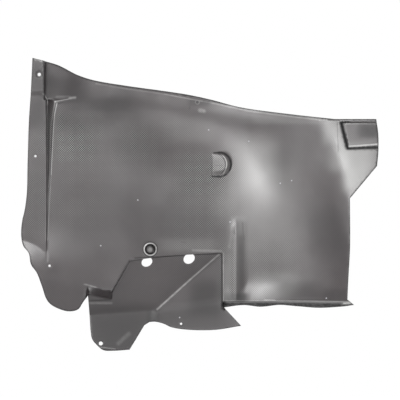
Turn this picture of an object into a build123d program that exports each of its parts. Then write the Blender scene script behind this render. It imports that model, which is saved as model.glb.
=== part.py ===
from build123d import *
import math
import os

# Wheel arch liner: one thermoformed plastic sheet, shown from the wheel side.
# X runs to the right along the sheet, Z up, and +Y away from the wheel.
# The origin is the centre of the upper screw hole, on the front face of the left flange.
# All lengths are in millimetres.

# Sheet
wall = 3.0
bend = 2.0

# Dished main panel
dish_depth = 95.0
dish_start = -55.5
dish_middle = 420.0
dish_shift = 52.0
shift_z = -150.0
shift_width = 50.0
rise_drop = 65.0
rise_end = 600.0
panel_left = -70.0
panel_right = 720.0
panel_top = 60.0
panel_bottom = -600.0
panel_step = 22.0

# Edge band along the top of the panel
edge_low = -90.0
edge_rise = 84.0
edge_start = 60.0
edge_reach = 240.0
band_height = 3.2
band_middle = 34.0
band_width = 18.5
band_near = 22.0
band_lean = 0.10
band_start = 110.0
band_end = 500.0
band_ease = 38.0

# Swell of the panel towards the wheel, below the edge band
swell_height = 20.0
swell_middle = 138.0
swell_width = 79.0
swell_start = 160.0
swell_ease = 51.5

# Lip that curls towards the wheel above the bottom fold
lip_z = -418.0
lip_lean = 0.30
lip_start = 372.0
lip_ease = 12.0

# Left screw flange
flange_width = 14.5
flange_pad_width = 10.5
flange_pad_height = 1.6
flange_pad_bottom = -38.0
flange_bottom = -372.0

# Fade of the step beside the flange, down the sheet
fade_high = 2.8
fade_low = -8.3
fade_middle = -342.0
fade_width = 27.0
fade_start = -40.0
fade_reach = 123.6

# Lobe at the bottom left, which leans back
lobe_edge_z = -400.0
lobe_edge_slope = 0.24
lobe_edge_lean = 0.35
lobe_edge_end = 190.0

# Valley beside the flange and the leaning corner above it
valley_edge_x = 30.0
valley_right = 60.0
valley_top_z = -50.0
valley_fall = 0.62
valley_run_out = 0.07
corner_lean = 0.33
corner_ease = 8.0
corner_step = 1.0
corner_right = 100.0

# Facing tab at the top right
tab_x = 564.0
tab_z = -100.0
tab_depth = 50.0
tab_slope = -0.03
tab_lean = 0.25
tab_ease = 7.0
tab_left = 535.0
tab_release = 1.2
label_top = -95.0
label_bottom = -147.0
label_left = 602.0
label_foot = 615.0
label_depth = 6.0

# Pocket and the bracket below it
pocket_left = 178.0
pocket_left_z = -372.0
pocket_right = 365.0
pocket_right_z = -357.5
pocket_foot_x = 143.0
pocket_foot_z = -435.0
pocket_bow = 3.6
pocket_step = 5.0
upper_face_slope = 0.25
upper_face_lean = -0.72
side_face_slope = -0.25
side_face_lean = -0.10
bend_x = 228.0
bend_z = -475.0
bend_depth = 122.0
lobe_face_slope = 0.19
lobe_face_lean = 0.16
tail_right = 420.0
tail_face_slope = -0.295
tail_face_lean = 0.20
shoulder_reach = 20.0
shoulder_x = 105.0
shoulder_z = -424.0
shoulder_slope = -0.20
shoulder_lean = -3.0
notch_x = 94.0
notch_z = -441.5
notch_gap = 1.5

# Folded flange along the bottom right
fold_z = -453.0
fold_lean = 3.0
fold_bottom = -468.0

# Upright rib beside the pocket
rib_left = 377.0
rib_crest = 392.0
rib_right = 411.0
rib_point = 403.0
rib_top = -284.0
rib_shoulder = -322.0
rib_height = 6.5
rib_end_slope = -0.20

# Half-round pad
pad_x = 345.0
pad_z = -179.0
pad_radius = 24.0
pad_flat = 15.0
pad_slope = -0.10
pad_draft = 0.90
pad_front = 10.0

# Round cup with a raised rim
cup_x = 220.6
cup_z = -348.5
cup_radius = 9.6
cup_depth = 12.0
cup_rim_width = 2.6
cup_rim_height = 1.6

# Holes
screw_hole = 6.5
small_hole = 4.5
lobe_hole = 8.0
flange_hole_x = -7.6
flange_hole_z = -162.4
lower_hole_x = 20.4
lower_hole_z = -380.8
lobe_hole_x = 120.8
lobe_hole_z = -538.0
tail_hole_x = 282.0
tail_hole_z = -498.8
dimple = 13.0
dimple_depth = 1.2
window_width = 22.4
window_height = 17.6
window_tilt = 18.0
second_window_width = 22.8
second_window_height = 22.0
window_x = 213.8
window_z = -374.0
second_window_x = 298.2
second_window_z = -367.0

# Reach of the cutting blocks, well past the whole depth of the sheet, and their margin around a cut
reach = 4.0 * dish_depth
margin = 50.0

# Distance within which an edge counts as lying on a face
touch = 0.02


def step_up(value, middle, width):
    """Ease from 0 to 1 around a middle value."""
    return 0.5 + 0.5 * math.tanh((value - middle) / width)


def ramp_up(value, width):
    """Ease from 0 into a straight climb that starts at 0."""
    return max(value, 0.0) + width * math.log1p(math.exp(-abs(value) / width))


def top_edge(x):
    """Height of the sheet's top edge, smoothed, which the edge band follows."""
    return edge_low + edge_rise * math.exp(-0.5 * ((x - edge_start) / edge_reach) ** 2)


def dish(x, z):
    """Section of the main panel: a bowl whose deepest line leans left towards the top."""
    middle = dish_middle - dish_shift * step_up(z, shift_z, shift_width)
    if x <= middle:
        return dish_depth * math.sin(math.pi / 2.0 * (x - dish_start) / (middle - dish_start)) ** 2
    return dish_depth - rise_drop * ((x - middle) / (rise_end - middle)) ** 2


def panel_depth(x, z):
    """Depth of the panel's front face at a point of the sheet."""
    lift = fade_low + (fade_high - fade_low) * step_up(z, fade_middle, fade_width)
    lift *= math.exp(-(((x - fade_start) / fade_reach) ** 2))
    below = top_edge(x) - z
    share = step_up(x, band_start, band_ease) * (1.0 - step_up(x, band_end, band_ease))
    band = band_height * (1.0 - step_up(below, band_middle, band_width))
    band -= band_lean * ramp_up(band_near - below, corner_ease)
    swell = swell_height * step_up(below, swell_middle, swell_width)
    swell *= step_up(x, swell_start, swell_ease)
    lip = lip_lean * ramp_up(lip_z - z, corner_ease) * step_up(x, lip_start, lip_ease)
    corner = corner_lean * ramp_up(z - valley_top_z, corner_ease)
    corner *= 1.0 - step_up(x, band_start, band_ease)
    lobe = lobe_edge_lean * ramp_up(lobe_edge_z - lobe_edge_slope * x - z, corner_ease)
    lobe *= 1.0 - step_up(x, lobe_edge_end, band_ease)
    open_face = dish(x, z) + lift - band * share - swell - lip + corner + lobe
    tab = tab_depth + tab_slope * (x - tab_x) + tab_lean * (z - tab_z)
    tab -= tab_release * ramp_up(tab_left - x, tab_ease)
    return tab + ramp_up(open_face - tab, tab_ease)


def panel_slope(x, z):
    """Slopes of the panel's front face along X and Z."""
    along = (panel_depth(x + 0.5, z) - panel_depth(x - 0.5, z))
    up = (panel_depth(x, z + 0.5) - panel_depth(x, z - 0.5))
    return along, up


def stations(start, end, step):
    """Evenly spaced values from start to end, no more than a step apart."""
    count = math.ceil(abs(end - start) / step)
    return [start + (end - start) * index / count for index in range(count + 1)]


def panel_point(x, z, inset):
    """A point of the panel, a given distance into the sheet from its front face."""
    along, up = panel_slope(x, z)
    return (x, panel_depth(x, z) + inset * math.sqrt(1.0 + along**2 + up**2), z)


def panel_block(inset):
    """Everything behind the main panel's face."""
    grow = 4.0 * inset
    columns = stations(panel_left - grow, panel_right + grow, panel_step)
    rows = stations(panel_bottom - grow, panel_top + grow, panel_step)
    points = [[panel_point(x, z, inset) for x in columns] for z in rows]
    face = Face.make_surface_from_array_of_points(points, tol=0.3, min_deg=3, max_deg=3)
    return extrude(face, amount=reach + grow, dir=(0, 1, 0))


class Facet:
    """A flat face of the moulding, as a depth over the sheet with two slopes."""

    def __init__(self, x, depth, z, slope, lean):
        self.x = x
        self.z = z
        self.slope = slope
        self.lean = lean
        self.depth = depth

    def at(self, x, z, inset=0.0):
        """Depth of the face at a point, a given distance into the sheet."""
        thick = inset * math.sqrt(1.0 + self.slope**2 + self.lean**2)
        return self.depth + self.slope * (x - self.x) + self.lean * (z - self.z) + thick

    def block(self, box, inset):
        """Everything behind the face, within a rectangle of the sheet."""
        return extrude(self.cover(box, inset), amount=2.0 * reach, dir=(0, 1, 0))

    def cutter(self, box, inset):
        """Everything in front of the face, within a rectangle of the sheet."""
        return extrude(self.cover(box, inset), amount=2.0 * reach, dir=(0, -1, 0))

    def cover(self, box, inset):
        """The face itself, over a rectangle of the sheet."""
        left, right, bottom, top = box
        corners = [(left, bottom), (right, bottom), (right, top), (left, top)]
        points = [(x, self.at(x, z, inset), z) for x, z in corners]
        return make_face(Polyline(*points, close=True))


def round_creases(body, faces, inset):
    """Round the outward creases where two of the flat faces meet, with the same bend right through."""
    creases = []
    for edge in body.edges():
        middle = edge @ 0.5
        near = [face for face in faces if abs(face.at(middle.X, middle.Z, inset) - middle.Y) < touch]
        if len(near) == 2:
            creases.append(edge)
    return body.fillet(bend + wall - inset, creases)


def upright(outline, inset=0.0):
    """A prism along Y over an outline in the sheet's plane, widened by the inset."""
    face = make_face(Plane.XZ * outline)
    if inset:
        face = offset(face, amount=inset, kind=Kind.INTERSECTION)
    return Pos(0, reach, 0) * extrude(face, amount=2.0 * reach, dir=(0, -1, 0))


def flange_box(right, bottom, top):
    """A rectangle of the flange, from beyond the left edge of the sheet."""
    return (panel_left, right, bottom, top)


def add_flange(body, inset):
    """Screw flange down the left side, with a raised pad at its top."""
    face = Facet(0, 0, 0, 0, 0)
    pad_face = Facet(0, -flange_pad_height, 0, 0, 0)
    body += face.block(flange_box(flange_width - inset, flange_bottom, valley_top_z), inset)
    body += face.block(flange_box(flange_pad_width - inset, valley_top_z, panel_top), inset)
    pad_box = flange_box(flange_pad_width - inset, flange_pad_bottom + inset, panel_top)
    return body + pad_face.block(pad_box, inset)


def cut_valley(body, inset):
    """Valley between the flange and the panel, and the leaning corner above it."""
    depth = panel_depth(valley_edge_x, valley_top_z)
    valley = Facet(valley_edge_x, depth, valley_top_z, -valley_fall, valley_run_out)
    corner = Facet(valley_edge_x, depth + corner_step, valley_top_z, 0, corner_lean)
    body -= valley.cutter((flange_width - inset, valley_right, flange_bottom, valley_top_z), inset)
    return body - corner.cutter((flange_pad_width - inset, corner_right, valley_top_z, panel_top), inset)


def cut_label(body, inset):
    """Plain label recess in the tab, open at the tab's edge."""
    grow = 4.0 * wall
    box = (tab_left, panel_right + grow, label_bottom - grow, label_top + grow)
    left = [(label_left, label_top), (label_foot, label_bottom)]
    right = [(panel_right, label_bottom), (panel_right, label_top)]
    floor = Facet(tab_x, tab_depth + label_depth, tab_z, tab_slope, tab_lean).cutter(box, inset)
    return body - (floor & upright(Polyline(*left, *right, close=True), inset))


def rib_faces():
    """Two sides of the upright rib, and its end, which runs out into the panel at the top."""
    foot = panel_depth(rib_crest, rib_shoulder)
    lean = (foot - panel_depth(rib_crest, lip_z)) / (rib_shoulder - lip_z)
    crest = foot - rib_height
    drop = panel_depth(rib_point, rib_top) - crest - rib_end_slope * (rib_point - rib_crest)
    left = Facet(rib_crest, crest, rib_shoulder, -rib_height / (rib_crest - rib_left), lean)
    right = Facet(rib_crest, crest, rib_shoulder, rib_height / (rib_right - rib_crest), lean)
    end = Facet(rib_crest, crest, rib_shoulder, rib_end_slope, drop / (rib_top - rib_shoulder))
    return [left, right, end]


def add_rib(body, inset):
    """Upright rib beside the pocket."""
    box = (rib_left - 3.0 * wall, rib_right + 3.0 * wall, panel_bottom, rib_top + 3.0 * wall)
    left, right, end = rib_faces()
    return body + (left.block(box, inset) & right.block(box, inset) & end.block(box, inset))


def pad_section(depth, grow):
    """D-shaped outline of the pad at one depth, widened on its round side."""
    turn = pad_x + pad_flat
    across = pad_radius + grow
    outline = Polyline((turn, pad_z + across), (pad_x, pad_z + across), (pad_x, pad_z - across),
                       (turn, pad_z - across))
    outline += ThreePointArc((turn, pad_z - across), (turn + across, pad_z), (turn, pad_z + across))
    return Plane.XZ.offset(-depth) * make_face(outline)


def add_pad(body, inset):
    """Half-round pad, flush at its straight side and proud at its drafted round side."""
    foot = panel_depth(pad_x + pad_flat + pad_radius, pad_z) + inset * math.sqrt(1.0 + pad_draft**2)
    front = pad_section(foot - pad_front, -pad_front / pad_draft)
    back = pad_section(foot + pad_front, pad_front / pad_draft)
    lean = panel_slope(pad_x, pad_z)[1]
    face = Facet(pad_x, panel_depth(pad_x, pad_z), pad_z, pad_slope, lean)
    far = 4.0 * pad_radius
    box = (pad_x - wall, pad_x + far, pad_z - far, pad_z + far)
    return body + (face.block(box, inset) & loft([front, back], ruled=True))


def cup_seat():
    """Plane on the panel at the cup, facing the wheel."""
    along, up = panel_slope(cup_x, cup_z)
    return Plane(origin=(cup_x, panel_depth(cup_x, cup_z), cup_z), z_dir=(along, -1, up))


def cut_cup(body, inset):
    """Round cup, with a raised rim on the wheel side."""
    seat = cup_seat()
    if not inset:
        rim = Cylinder(cup_radius + cup_rim_width, 2.0 * cup_depth)
        body += seat * Pos(0, 0, cup_rim_height - cup_depth) * rim
    bore = Cylinder(cup_radius + inset, 4.0 * cup_depth)
    return body - seat * Pos(0, 0, cup_depth - inset) * bore


def fold_cutter(inset):
    """Everything in front of the flange that folds back along the bottom right."""
    rise = wall + 2.0 * inset
    thick = inset * math.sqrt(1.0 + fold_lean**2)
    columns = stations(pocket_right + inset, panel_right, panel_step)
    points = [(x, panel_depth(x, fold_z) + thick - fold_lean * rise) for x in columns]
    front = -reach
    outline = Spline(*points)
    outline += Polyline(points[-1], (points[-1][0], front), (points[0][0], front), points[0])
    face = Pos(0, 0, fold_z + rise) * make_face(outline)
    drop = fold_z + rise - fold_bottom
    return extrude(face, amount=drop * math.sqrt(1.0 + fold_lean**2), dir=(0, fold_lean, -1))


def pocket_outline():
    """Outline of the pocket and bracket, which lie behind the panel."""
    middle = (pocket_left + pocket_right) / 2.0
    crown = (pocket_left_z + pocket_right_z) / 2.0 + pocket_bow
    top = ThreePointArc((pocket_left, pocket_left_z), (middle, crown), (pocket_right, pocket_right_z))
    above = shoulder_z + shoulder_reach
    right = Polyline((pocket_right, pocket_right_z), (pocket_right, fold_bottom), (tail_right, fold_bottom),
                     (tail_right, panel_bottom))
    left = Polyline((tail_right, panel_bottom), (notch_x, panel_bottom), (notch_x, above),
                    (pocket_foot_x, above), (pocket_foot_x, pocket_foot_z), (pocket_left, pocket_left_z))
    return top + right + left


def pocket_faces():
    """Flat faces at the bottom of the pocket, from its top edge to the bracket's tail."""
    corner = panel_depth(pocket_right, pocket_right_z) + pocket_step
    upper = Facet(pocket_right, corner, pocket_right_z, upper_face_slope, upper_face_lean)
    side = Facet(pocket_right, corner, pocket_right_z, side_face_slope, side_face_lean)
    lobe = Facet(bend_x, bend_depth, bend_z, lobe_face_slope, lobe_face_lean)
    tail = Facet(bend_x, bend_depth, bend_z, tail_face_slope, tail_face_lean)
    return [upper, side, lobe, tail]


def pocket_cutter(inset):
    """Everything in front of the pocket and its bracket."""
    cutter = upright(pocket_outline(), inset)
    box = (notch_x - margin, tail_right + margin, panel_bottom - margin, pocket_right_z + margin)
    for face in pocket_faces():
        cutter -= face.block(box, inset)
    depth = panel_depth(shoulder_x, shoulder_z)
    shoulder = Facet(shoulder_x, depth, shoulder_z, shoulder_slope, shoulder_lean)
    side = (notch_x - margin, pocket_foot_x - inset, panel_bottom - margin, shoulder_z + margin)
    return cutter - shoulder.block(side, inset)


def add_tail(body, inset):
    """Tail of the bracket, which reaches past the pocket under the folded flange."""
    tail = pocket_faces()[-1]
    return body + tail.block((pocket_foot_x, tail_right, panel_bottom, fold_bottom), inset)


def skin(inset):
    """Everything behind the moulded face, a given distance into the sheet."""
    body = panel_block(inset)
    body = cut_label(body, inset)
    body = add_flange(body, inset)
    body = cut_valley(body, inset)
    body = add_rib(body, inset)
    body = add_pad(body, inset)
    body = body - fold_cutter(inset)
    body = body - pocket_cutter(inset)
    body = add_tail(body, inset)
    body = round_creases(body, pocket_faces(), inset)
    return cut_cup(body, inset)


def top_edge_line():
    """Wavy top edge, from the flange's corner to the tab."""
    return Spline((-13.6, 33), (35, 20), (75, 0), (107, -10.5), (169, -21), (241, -30.5), (295, -38.5),
                  (340, -48), (402, -64), (498, -77.5), (589, -88))


def right_edge_line():
    """Edge round the facing tab and down the right side, to the corner of the bottom fold."""
    tab = Line((589, -88), (672.5, -88)) + Spline((672.5, -88), (676.5, -117), (676.5, -150), (673.5, -182))
    side = Line((673.5, -182), (618.8, -247))
    side += Spline((618.8, -247), (618.8, -344), (616, -397), (613.4, -448))
    return tab + side + Line((613.4, -448), (626.8, -459))


def bottom_edge_line():
    """Edge of the folded flange, the bracket's tail and the lobe that carries its screw."""
    fold = Spline((626.8, -459), (606, -462.5), (558, -466), (514, -463), (479, -460.5), (442, -464.5),
                  (407, -461), (368.5, -466))
    tail = Line((368.5, -466), (402.4, -502))
    tail += Spline((402.4, -502), (350, -510.5), (295, -510.5), (263, -506), (247, -499), (230, -495),
                   (218.6, -495.5))
    lobe = Polyline((218.6, -495.5), (208, -502), (190, -532), (178.4, -550.8))
    lobe += Spline((178.4, -550.8), (147, -552.8), (126, -551.5), (112.8, -541), (103.4, -529), (100, -510))
    return fold + tail + lobe + Polyline((100, -510), (notch_x + notch_gap, notch_z), (86, -455))


def left_edge_line():
    """Edge round the bottom left lobe and up the flange."""
    return Spline((86, -455), (76.5, -468.5), (58, -472.3), (38, -467), (21.5, -457.5), (13, -446),
                  (5.8, -424), (-5, -395), (-16.5, -378), (-21, -356), (-32, -341), (-36, -322),
                  (-34.5, -294), (-29, -269), (-25, -238), (-23.2, -171), (-20.6, -91), (-17, -37),
                  (-13.6, 33))


def sheet_outline():
    """Trimmed edge of the sheet, seen from the wheel."""
    return top_edge_line() + right_edge_line() + bottom_edge_line() + left_edge_line()


def bore(x, z, diameter):
    """A round hole through the sheet along Y."""
    return upright(Pos(x, z) * Circle(diameter / 2.0).edge())


def cut_holes(sheet):
    """Screw holes in the flange, lobes and bracket, and a dimple around the upper one."""
    floor = Facet(0, dimple_depth - flange_pad_height, 0, 0, 0)
    box = (-dimple, dimple, -dimple, dimple)
    sheet -= floor.cutter(box, 0) & upright(Circle(dimple / 2.0).edge())
    sheet -= bore(0, 0, screw_hole)
    sheet -= bore(flange_hole_x, flange_hole_z, small_hole)
    sheet -= bore(lower_hole_x, lower_hole_z, small_hole)
    sheet -= bore(lobe_hole_x, lobe_hole_z, lobe_hole)
    sheet -= bore(tail_hole_x, tail_hole_z, small_hole)
    return sheet


def window(x, z, width, height, tilt):
    """A tilted elliptical hole through the sheet along Y."""
    return upright((Pos(x, z) * Rot(0, 0, tilt) * Ellipse(width / 2.0, height / 2.0)).edge())


def cut_windows(sheet):
    """Two windows just under the pocket's top edge, where the edge trims them."""
    within = upright(pocket_outline())
    first = window(window_x, window_z, window_width, window_height, window_tilt)
    second = window(second_window_x, second_window_z, second_window_width, second_window_height, 0)
    return sheet - (first & within) - (second & within)


def arch_liner():
    """The whole moulded sheet."""
    sheet = skin(0.0) & upright(sheet_outline())
    sheet = sheet - skin(wall)
    sheet = cut_holes(sheet)
    return cut_windows(sheet)


os.makedirs("parts", exist_ok=True)
export_step(arch_liner(), "parts/arch_liner.step")
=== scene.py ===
import math

import bpy
import bmesh
import numpy as np
from bpy.props import FloatProperty, FloatVectorProperty, PointerProperty
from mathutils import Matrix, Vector
from mathutils.geometry import delaunay_2d_cdt
from mathutils.kdtree import KDTree


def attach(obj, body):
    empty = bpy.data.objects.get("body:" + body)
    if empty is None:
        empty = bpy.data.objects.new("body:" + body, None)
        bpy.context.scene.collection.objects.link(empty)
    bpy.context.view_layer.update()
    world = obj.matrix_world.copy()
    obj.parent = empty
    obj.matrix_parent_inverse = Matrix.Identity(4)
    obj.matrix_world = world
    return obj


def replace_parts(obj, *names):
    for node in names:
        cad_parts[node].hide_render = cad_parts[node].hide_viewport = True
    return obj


bl_info = {
    "name": "Wheel arch liner",
    "version": (1, 0, 0),
    "blender": (4, 5, 0),
    "location": "View3D > Sidebar > Arch liner",
    "description": "Dresses a moulded wheel arch liner: its sheet, grain, moulding pips and studio",
    "category": "Object",
}

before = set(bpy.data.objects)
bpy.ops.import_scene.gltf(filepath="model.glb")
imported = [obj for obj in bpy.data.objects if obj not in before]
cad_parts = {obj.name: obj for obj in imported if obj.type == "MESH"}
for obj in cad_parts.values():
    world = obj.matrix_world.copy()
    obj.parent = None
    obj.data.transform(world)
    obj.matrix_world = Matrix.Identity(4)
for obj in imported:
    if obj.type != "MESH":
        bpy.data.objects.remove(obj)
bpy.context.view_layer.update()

MM = 0.001
LOOK_AT = (0.320, 0.050, -0.250)

# Softboxes: name, turn and rise in degrees from the camera's side, width in metres, share of the power
SOFTBOXES = [("key_light", -5.0, 23.0, 0.8, 1.20), ("key_right", 5.0, 12.0, 0.8, 0.45),
             ("key_left", -15.0, 17.0, 0.9, 0.62), ("left_fill", -42.0, 4.0, 1.5, 0.72),
             ("right_fill", 30.0, 10.0, 0.9, 0.40), ("high_fill", -55.0, 50.0, 0.9, 1.26),
             ("back_fill", 165.0, 35.0, 1.5, 1.6)]
SOFTBOX_AWAY, FLOOR_HALF = 3.0, 3.0

# Shape of the moulding: lengths in mm, slopes as depth over length

DISH_DEPTH, DISH_START, DISH_MIDDLE, RISE_DROP, RISE_END = 95.0, -55.5, 420.0, 65.0, 600.0
DISH_SHIFT, SHIFT_Z, SHIFT_WIDTH = 52.0, -150.0, 50.0
EDGE_LOW, EDGE_RISE, EDGE_START, EDGE_REACH = -90.0, 84.0, 60.0, 240.0
BAND_HEIGHT, BAND_MIDDLE, BAND_WIDTH, BAND_NEAR, BAND_LEAN = 3.2, 34.0, 18.5, 22.0, 0.10
BAND_START, BAND_END, BAND_EASE = 110.0, 500.0, 38.0
SWELL_HEIGHT, SWELL_MIDDLE, SWELL_WIDTH, SWELL_START, SWELL_EASE = 20.0, 138.0, 79.0, 160.0, 51.5
LIP_Z, LIP_LEAN, LIP_START, LIP_EASE = -418.0, 0.30, 372.0, 12.0
FLANGE_WIDTH, PAD_WIDTH, PAD_HEIGHT, PAD_BOTTOM, FLANGE_BOTTOM = 14.5, 10.5, 1.6, -38.0, -372.0
FLANGE_WALL, FLANGE_RUN_OUT, PAD_STEP = 1.5, 12.0, 2.5
DIMPLE_RADIUS, DIMPLE_DEPTH, DIMPLE_WALL = 6.5, 1.2, 0.9
FADE_HIGH, FADE_LOW, FADE_MIDDLE, FADE_WIDTH, FADE_START, FADE_REACH = 2.8, -8.3, -342.0, 27.0, -40.0, 123.6
LOBE_EDGE_Z, LOBE_EDGE_SLOPE, LOBE_EDGE_LEAN, LOBE_EDGE_END = -400.0, 0.24, 0.35, 190.0
VALLEY_X, VALLEY_RIGHT, VALLEY_TOP, VALLEY_FALL, VALLEY_RUN_OUT = 30.0, 60.0, -50.0, 0.62, 0.07
VALLEY_BEND, VALLEY_END, CORNER_BEND, CORNER_WALL = 0.8, 4.0, 4.0, 1.2
CORNER_LEAN, CORNER_EASE, CORNER_STEP, CORNER_RIGHT = 0.33, 8.0, 1.0, 100.0
TAB_X, TAB_Z, TAB_DEPTH, TAB_SLOPE, TAB_LEAN, TAB_EASE = 564.0, -100.0, 50.0, -0.03, 0.25, 7.0
TAB_LEFT, TAB_RELEASE = 535.0, 1.2
LABEL_TOP, LABEL_BOTTOM, LABEL_LEFT, LABEL_FOOT, LABEL_DEPTH, LABEL_WALL = -95.0, -147.0, 602.0, 615.0, 6.0, 1.6
POCKET_LEFT, POCKET_LEFT_Z, POCKET_RIGHT, POCKET_RIGHT_Z = 178.0, -372.0, 365.0, -357.5
POCKET_FOOT_X, POCKET_FOOT_Z, POCKET_BOW, POCKET_STEP, POCKET_WALL, POCKET_BEND = 143.0, -435.0, 3.6, 5.0, 1.4, 3.2
UPPER_SLOPE, UPPER_LEAN, SIDE_SLOPE, SIDE_LEAN = 0.25, -0.72, -0.25, -0.10
BEND_X, BEND_Z, BEND_DEPTH = 228.0, -475.0, 122.0
LOBE_SLOPE, LOBE_LEAN, TAIL_SLOPE, TAIL_LEAN, LOBE_BEND = 0.19, 0.16, -0.295, 0.20, 7.0
TAIL_RIGHT, TAIL_WALL, NOTCH_X, NOTCH_Z = 420.0, 1.2, 94.0, -441.5
SHOULDER_X, SHOULDER_Z, SHOULDER_REACH = 105.0, -424.0, 20.0
SHOULDER_SLOPE, SHOULDER_LEAN, SHOULDER_BEND = -0.20, -3.0, 6.0
FOLD_Z, FOLD_LEAN, FOLD_BOTTOM, FOLD_BEND = -453.0, 3.0, -468.0, 4.0
RIB_LEFT, RIB_CREST, RIB_RIGHT, RIB_HEIGHT = 377.0, 392.0, 411.0, 6.5
RIB_TOP, RIB_SHOULDER, RIB_NEAR, RIB_BEND = -284.0, -322.0, 30.0, 1.2
RIB_FOOT_BEND, RIB_LEFT_BEND, RIB_EASE = 0.8, 3.0, 4.0
HALF_PAD_X, HALF_PAD_Z, HALF_PAD_RADIUS, HALF_PAD_FLAT, HALF_PAD_SLOPE = 345.0, -179.0, 24.0, 15.0, -0.10
HALF_PAD_DRAFT, HALF_PAD_BEND, HALF_PAD_FOOT_BEND, HALF_PAD_WALL = 0.90, 1.6, 1.2, 1.5
CUP_X, CUP_Z, CUP_RADIUS, CUP_DEPTH, CUP_WALL = 220.6, -348.5, 9.6, 12.0, 1.0
CUP_RIM_WIDTH, CUP_RIM_HEIGHT, CUP_RIM_WALL = 2.6, 1.6, 1.2
PANEL_BOTTOM, PANEL_RIGHT = -600.0, 720.0
BEAD_HEIGHT, GROOVE_DEPTH, EDGE_SOFT, HOLE_SOFT, EDGE_DULL = 0.28, 0.22, 0.8, 0.35, 3.8

# Moulding pips: place on the face, x and z in mm
PIPS = [(337.4, -109.4), (417.8, -132.2), (480.8, -216.6), (503.6, -211.2), (380.4, -294.2), (195.8, -250.2),
        (122.0, -341.2), (279.0, -486.0), (572.0, -446.0)]

# Broad patches of the finish, of grain, of painted shade where a dark dull finish is mixed in, and of painted
# highlight: middle x and z, half width and half height in mm, strength
GRAINED = [(64, -122, 66, 54, 1.0), (165, -140, 60, 46, 0.45), (-4, -230, 26, 110, 0.5), (326, -200, 44, 44, 0.85),
           (318, -262, 74, 100, 0.45), (464, -385, 54, 72, 0.30), (70, -240, 70, 80, 0.30), (376, -400, 24, 70, 0.55),
           (232, -150, 80, 60, 0.35)]
# Painted shade: patches where the dark dull finish is mixed in to darken the tone
SHADE_PATCHES = [(150, -515, 80, 60, 0.60), (300, -490, 100, 30, 0.42), (335, -445, 40, 40, 0.50), (-8, -5, 24, 42, 0.50),
         (-8, -78, 26, 34, 0.50), (50, -28, 45, 26, 0.40), (120, -70, 110, 40, 0.42), (580, -290, 50, 80, 0.25),
         (200, -300, 130, 90, 0.12), (660, -112, 26, 16, 0.55), (396, -447, 24, 12, 0.75), (402, -385, 8, 75, 0.45),
         (495, -225, 40, 90, 0.15), (595, -440, 30, 14, 0.35), (318, -54, 24, 9, 0.35),
         (226, -486, 12, 16, 0.55), (110, -60, 70, 14, 0.25), (200, -130, 90, 26, 0.12),
         (60, -100, 26, 30, 0.15), (300, -300, 70, 30, 0.15), (575, -330, 40, 60, 0.15),
         (180, -200, 165, 130, 0.14), (-8, -220, 24, 120, 0.30), (520, -430, 50, 22, 0.35), (366, -335, 22, 30, 0.20),
         (470, -190, 34, 44, 0.20), (470, -420, 36, 20, 0.18)]
# Painted highlight: patches where the colour is lightened
HIGHLIGHT_PATCHES = [(430, -180, 45, 60, 0.50), (448, -280, 66, 110, 0.38), (586, -116, 22, 26, 0.45), (628, -166, 46, 28, 0.80),
         (632, -206, 28, 30, 0.95), (300, -110, 50, 26, 0.20), (300, -340, 60, 14, 0.25), (470, -420, 44, 26, 0.45),
         (55, -140, 16, 30, 0.20), (376, -400, 10, 60, 0.30), (500, -88, 90, 10, 0.20),
         (368, -246, 26, 46, 0.28)]

# Fine raised beads that carry a painted highlight and sunk grooves that carry painted shade: start and end x and z,
# half width in mm, strength
BEADS = [(30, -56, 22.8, -102, 0.9, 0.35), (22.8, -102, 21.8, -140, 0.8, 0.35), (21.8, -140, 18.4, -224, 0.8, 0.3),
         (35.2, -57, 29.4, -82, 1.0, 0.5), (29.4, -82, 27.6, -115, 0.9, 0.5), (27.6, -115, 23.4, -199, 0.9, 0.45),
         (23.4, -199, 16.5, -330, 0.7, 0.25), (30, -54, 48, -50.5, 0.9, 0.5), (48, -50.5, 64, -47.6, 1.0, 0.45),
         (60, -46.5, 71, -45.6, 2.4, 0.4), (34, -44, 58, -43.6, 2.0, 0.15), (15.5, -53, 15.5, -60, 1.4, 0.4),
         (9.5, -40, 16.5, -51, 1.0, 0.5), (16.0, -51, 14.0, -86, 0.7, 0.35), (14.0, -86, 13.2, -330, 0.7, 0.35),
         (358, -359, 300, -410, 1.5, 0.38), (300, -410, 234, -470, 1.7, 0.5), (366.5, -358, 366.5, -452, 1.5, 0.36),
         (306, -351, 362, -352.5, 2.4, 0.22), (98, -457, 142, -457, 2.2, 0.22), (156, -538, 177, -519, 4.0, 0.18),
         (90, -418, 112, -424, 1.4, 0.3), (372, -452, 616, -452, 0.9, 0.4), (606, -456, 618, -455, 2.0, 0.8),
         (618, -143, 674, -138.5, 1.6, 0.6), (612, -97, 674, -95.5, 0.9, 0.4), (386, -300, 379, -344, 3.2, 0.12),
         (389.5, -322, 389.5, -444, 3.0, 0.15), (320, -70, 328, -71.5, 3.4, 0.30), (112, -17.5, 169, -27, 1.2, 0.15),
         (169, -27, 250, -38, 1.2, 0.15), (250, -38, 340, -54.5, 1.2, 0.3), (340, -54.5, 420, -72.5, 1.2, 0.25),
         (420, -72.5, 560, -90, 1.2, 0.25),
         (116, -545, 150, -549, 1.0, 0.35), (450, -450, 470, -450.5, 1.2, 0.35)]
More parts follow.
